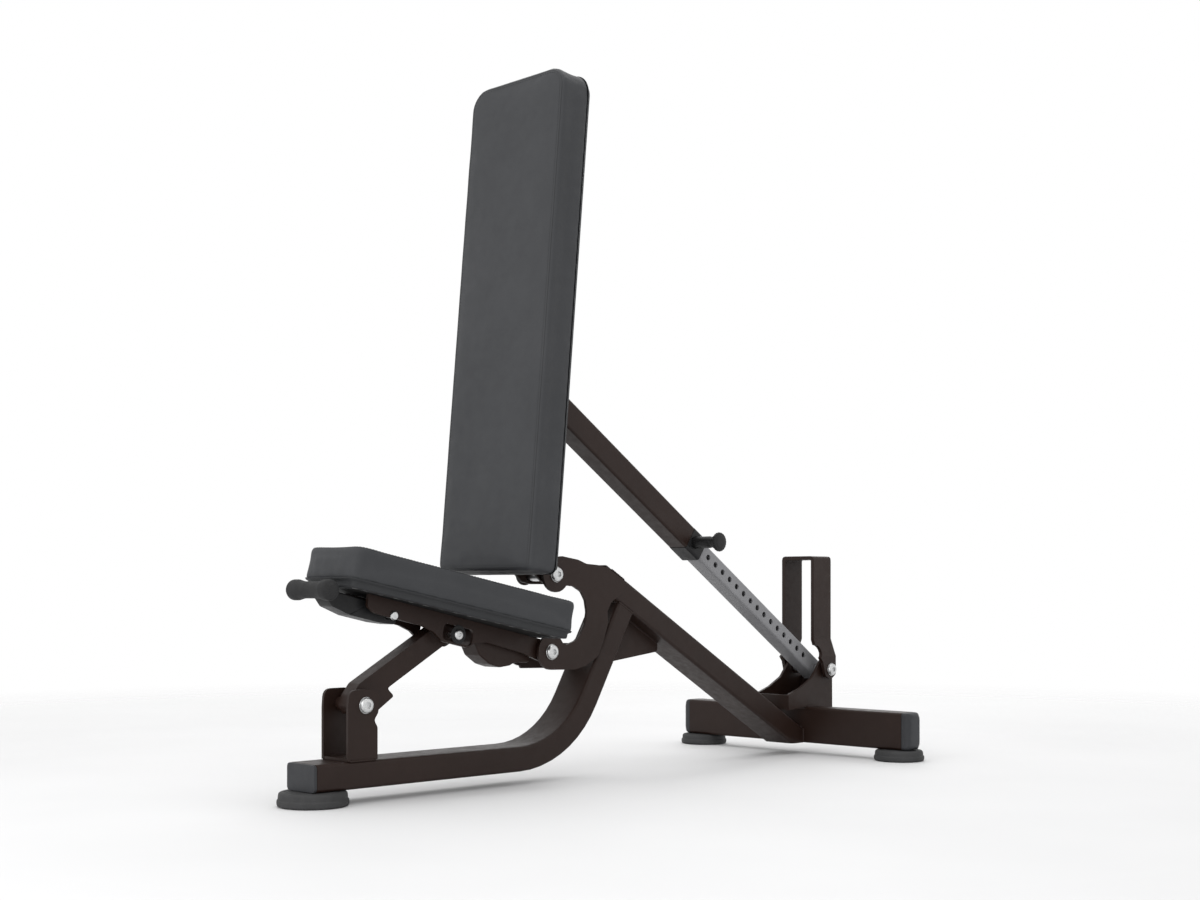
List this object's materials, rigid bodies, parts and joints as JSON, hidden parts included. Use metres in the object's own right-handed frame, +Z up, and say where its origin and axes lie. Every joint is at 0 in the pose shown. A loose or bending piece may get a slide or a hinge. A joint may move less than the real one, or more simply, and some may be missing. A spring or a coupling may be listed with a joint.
{
  "type": "adjustable weight bench",
  "caption": "Adjustable weight bench: padded back and seat on a steel tube frame, telescopic hole-and-pin back strut, rear lifting handle.",
  "frame": {"origin": "on the floor below the middle of the overall length, in the plane of symmetry", "axes": "+X towards the rear of the bench, +Y to the sitter's left, +Z up"},
  "size_m": [1.4084, 0.6434, 1.3025],
  "materials": {
    "frame_paint": "dark brown powder coat, fine satin texture",
    "upholstery": "charcoal grey vinyl, fine grain, satin",
    "board": "black backing board",
    "rubber": "dark grey moulded rubber",
    "cap_plastic": "dark grey moulded plastic",
    "zinc": "bright zinc plated steel",
    "bar_paint": "light grey coated steel, satin",
    "black_plastic": "black moulded plastic"
  },
  "bodies": {
    "base": {"main_tube": "frame_paint", "diagonal_tube": "frame_paint", "yoke_plate_left": "frame_paint", "yoke_plate_right": "frame_paint", "corner_gusset": "frame_paint", "rear_cross_tube": "frame_paint", "base_bracket": "frame_paint", "rear_handle": "frame_paint", "front_bracket": "frame_paint", "front_foot": "rubber", "rear_foot_left": "rubber", "rear_foot_right": "rubber", "front_end_cap": "cap_plastic", "rear_end_cap_left": "cap_plastic", "rear_end_cap_right": "cap_plastic", "front_foot_stud": "zinc", "rear_foot_stud_left": "zinc", "rear_foot_stud_right": "zinc", "base_pivot_bolt": "zinc", "base_pivot_nut": "zinc", "bar_spacer_left": "zinc", "bar_spacer_right": "zinc", "handle_spacer_left": "zinc", "handle_spacer_right": "zinc", "seat_strut_bolt": "zinc", "seat_strut_nut": "zinc", "back_pivot_bolt": "zinc", "back_pivot_nut": "zinc", "seat_pivot_bolt": "zinc", "seat_pivot_nut": "zinc"},
    "backrest": {"back_rail_left": "frame_paint", "back_rail_right": "frame_paint", "back_cross_plate": "frame_paint", "back_board": "board", "back_pad": "upholstery", "back_hinge_bracket": "frame_paint", "back_hinge_bush": "zinc", "strut_clevis": "frame_paint", "strut_top_bolt": "zinc", "strut_top_nut": "zinc"},
    "bar": {"adjuster_bar": "bar_paint"},
    "sleeve": {"adjuster_sleeve": "frame_paint", "sleeve_end_block": "black_plastic", "sleeve_top_bush": "zinc", "pin_housing": "black_plastic", "pin_spring": "zinc"},
    "pin": {"pop_pin": "zinc", "pin_knob": "black_plastic"},
    "seat": {"seat_frame": "frame_paint", "seat_pivot_bush": "zinc", "seat_board": "board", "seat_pad": "upholstery", "seat_latch_housing": "frame_paint", "lever_pin": "zinc", "lever_spring": "zinc"},
    "seat_lever": {"seat_lever": "black_plastic", "seat_grip": "rubber"},
    "seat_strut": {"seat_strut": "frame_paint", "strut_slide_pin": "zinc", "strut_pin_nut": "zinc"}
  },
  "joints": [
    {"name": "back_recline", "type": "hinge", "parent": "base", "child": "backrest", "pos_m": [-0.13485, 0, 0.384], "axis": [0, 1, 0], "range_deg": [0, 84.58]},
    {"name": "bar_tilt", "type": "hinge", "parent": "base", "child": "bar", "pos_m": [0.68315, 0, 0.18], "axis": [0, 1, 0], "range_deg": [-8.93, 0.01]},
    {"name": "sleeve_slide", "type": "slide", "parent": "bar", "child": "sleeve", "axis": [0.833, 0, -0.5532], "range_m": [-0.0001, 0.4321]},
    {"name": "pin_pull", "type": "slide", "parent": "sleeve", "child": "pin", "axis": [0, -1, 0], "range_m": [-0.0055, 0.0065], "stiffness_N_per_m": 900, "springref_m": -0.018},
    {"name": "seat_tilt", "type": "hinge", "parent": "base", "child": "seat", "pos_m": [-0.14685, 0, 0.241], "axis": [0, 1, 0], "range_deg": [-12.2, 5]},
    {"name": "strut_swing", "type": "hinge", "parent": "base", "child": "seat_strut", "pos_m": [-0.56485, 0, 0.1635], "axis": [0, 1, 0], "range_deg": [-5.82, 14.2]},
    {"name": "lever_lift", "type": "hinge", "parent": "seat", "child": "seat_lever", "pos_m": [-0.50487, 0, 0.31227], "axis": [0, 1, 0], "range_deg": [0, 3], "stiffness_Nm_per_rad": 6, "springref_deg": -11.46}
  ],
  "couplings": [
    {"joint": "bar_tilt", "follows": "back_recline", "ratio": -0.10552},
    {"joint": "sleeve_slide", "follows": "back_recline", "m_per_rad": 0.29264},
    {"joint": "strut_swing", "follows": "seat_tilt", "ratio": -1.163}
  ]
}
